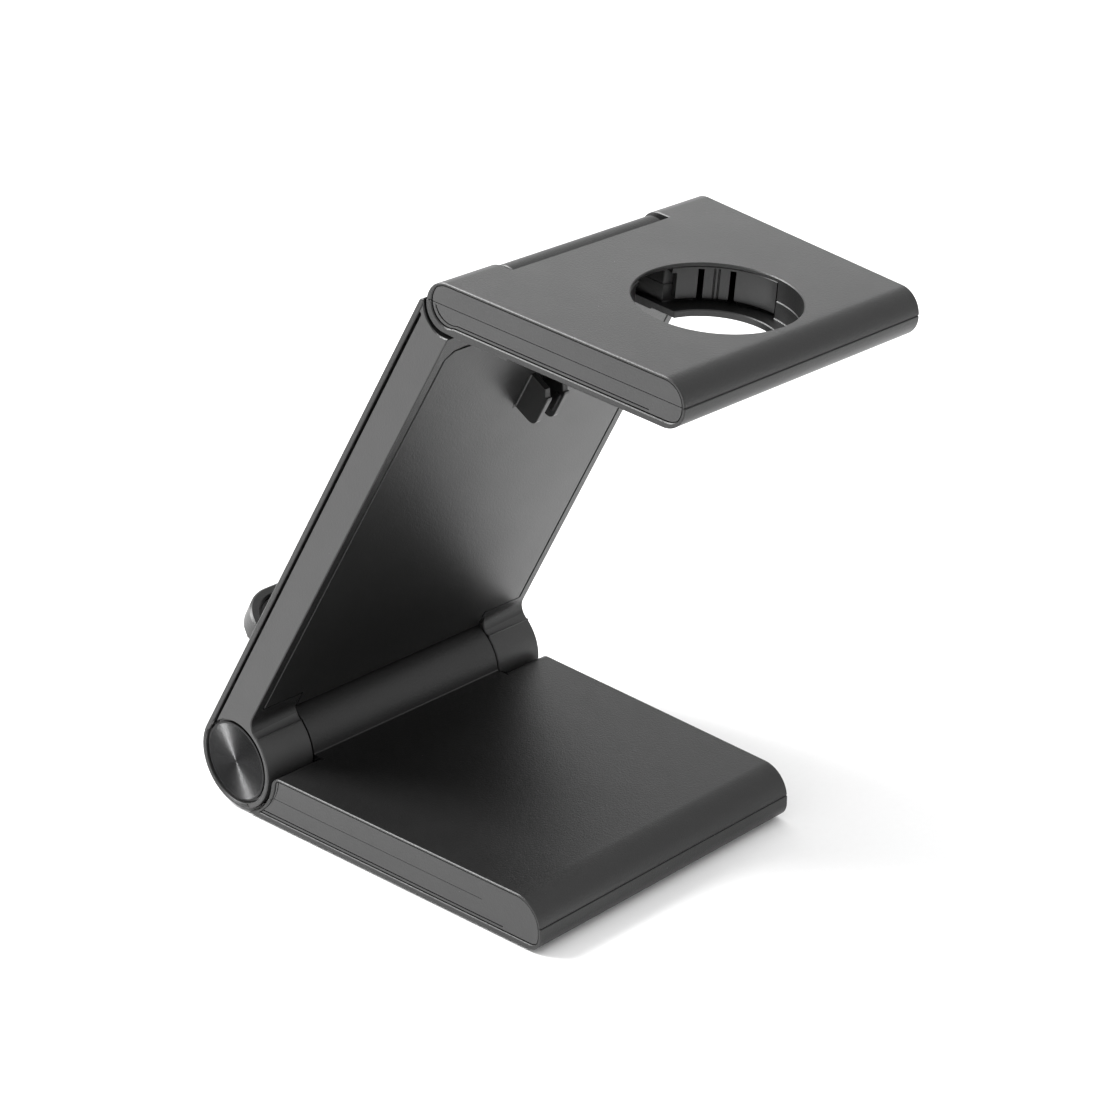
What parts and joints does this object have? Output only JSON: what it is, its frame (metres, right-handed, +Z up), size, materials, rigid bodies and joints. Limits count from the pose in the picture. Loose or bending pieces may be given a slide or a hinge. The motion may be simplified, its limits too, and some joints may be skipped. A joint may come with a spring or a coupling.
{
  "type": "phone stand",
  "caption": "Folding stand of hinged flat plates: base, leaning arm with a fold-up phone ledge, and a top plate with a round hole for a watch charging puck.",
  "frame": {"origin": "on the desk, at the middle of the rubber pad's underside", "axes": "+Z up, +Y from the lower hinge towards the free edges of the base and the top plate, +X along the hinges"},
  "size_m": [0.073, 0.125, 0.1188],
  "materials": {
    "shell_plastic": "fine spark-eroded grain, dark grey",
    "panel_plastic": "satin dark grey",
    "soft_rubber": "matt black silicone",
    "steel": "bright zinc plated",
    "spun_metal": "radially spun, grey anodised",
    "bushing_plastic": "natural acetal"
  },
  "bodies": {
    "base": {"base_lower_shell": "shell_plastic", "base_upper_shell": "shell_plastic", "base_side_panels": "panel_plastic", "base_pad": "soft_rubber", "base_screws": "steel", "ballast_plate": "steel", "lower_hinge_shaft": "steel", "lower_hinge_nuts": "steel"},
    "arm": {"arm_frame": "panel_plastic", "arm_front_panel": "shell_plastic", "arm_back_cover": "panel_plastic", "cable_hooks": "panel_plastic", "phone_pad": "soft_rubber", "arm_core_plate": "steel", "arm_screws": "steel", "lower_hinge_bushings": "bushing_plastic", "lower_spring_washers": "steel", "end_disc_right": "spun_metal", "end_disc_left": "spun_metal", "upper_hinge_shaft": "steel", "upper_hinge_nuts": "steel", "ledge_pin": "steel"},
    "ledge": {"phone_ledge": "shell_plastic", "ledge_mat": "soft_rubber", "ledge_bushings": "bushing_plastic"},
    "top_plate": {"top_upper_shell": "shell_plastic", "top_lower_shell": "shell_plastic", "top_side_panels": "panel_plastic", "puck_clip": "panel_plastic", "top_screws": "steel", "upper_hinge_bushings": "bushing_plastic", "upper_spring_washers": "steel"}
  },
  "joints": [
    {"name": "lower_hinge", "type": "hinge", "parent": "base", "child": "arm", "pos_m": [0, -0.041, 0.0102], "axis": [1, 0, 0], "range_deg": [-60, 30]},
    {"name": "upper_hinge", "type": "hinge", "parent": "arm", "child": "top_plate", "pos_m": [0, 0.01449, 0.1143], "axis": [1, 0, 0], "range_deg": [-12, 65]},
    {"name": "ledge_hinge", "type": "hinge", "parent": "arm", "child": "ledge", "pos_m": [0, -0.04134, 0.022], "axis": [1, 0, 0], "range_deg": [-90, 0]}
  ]
}
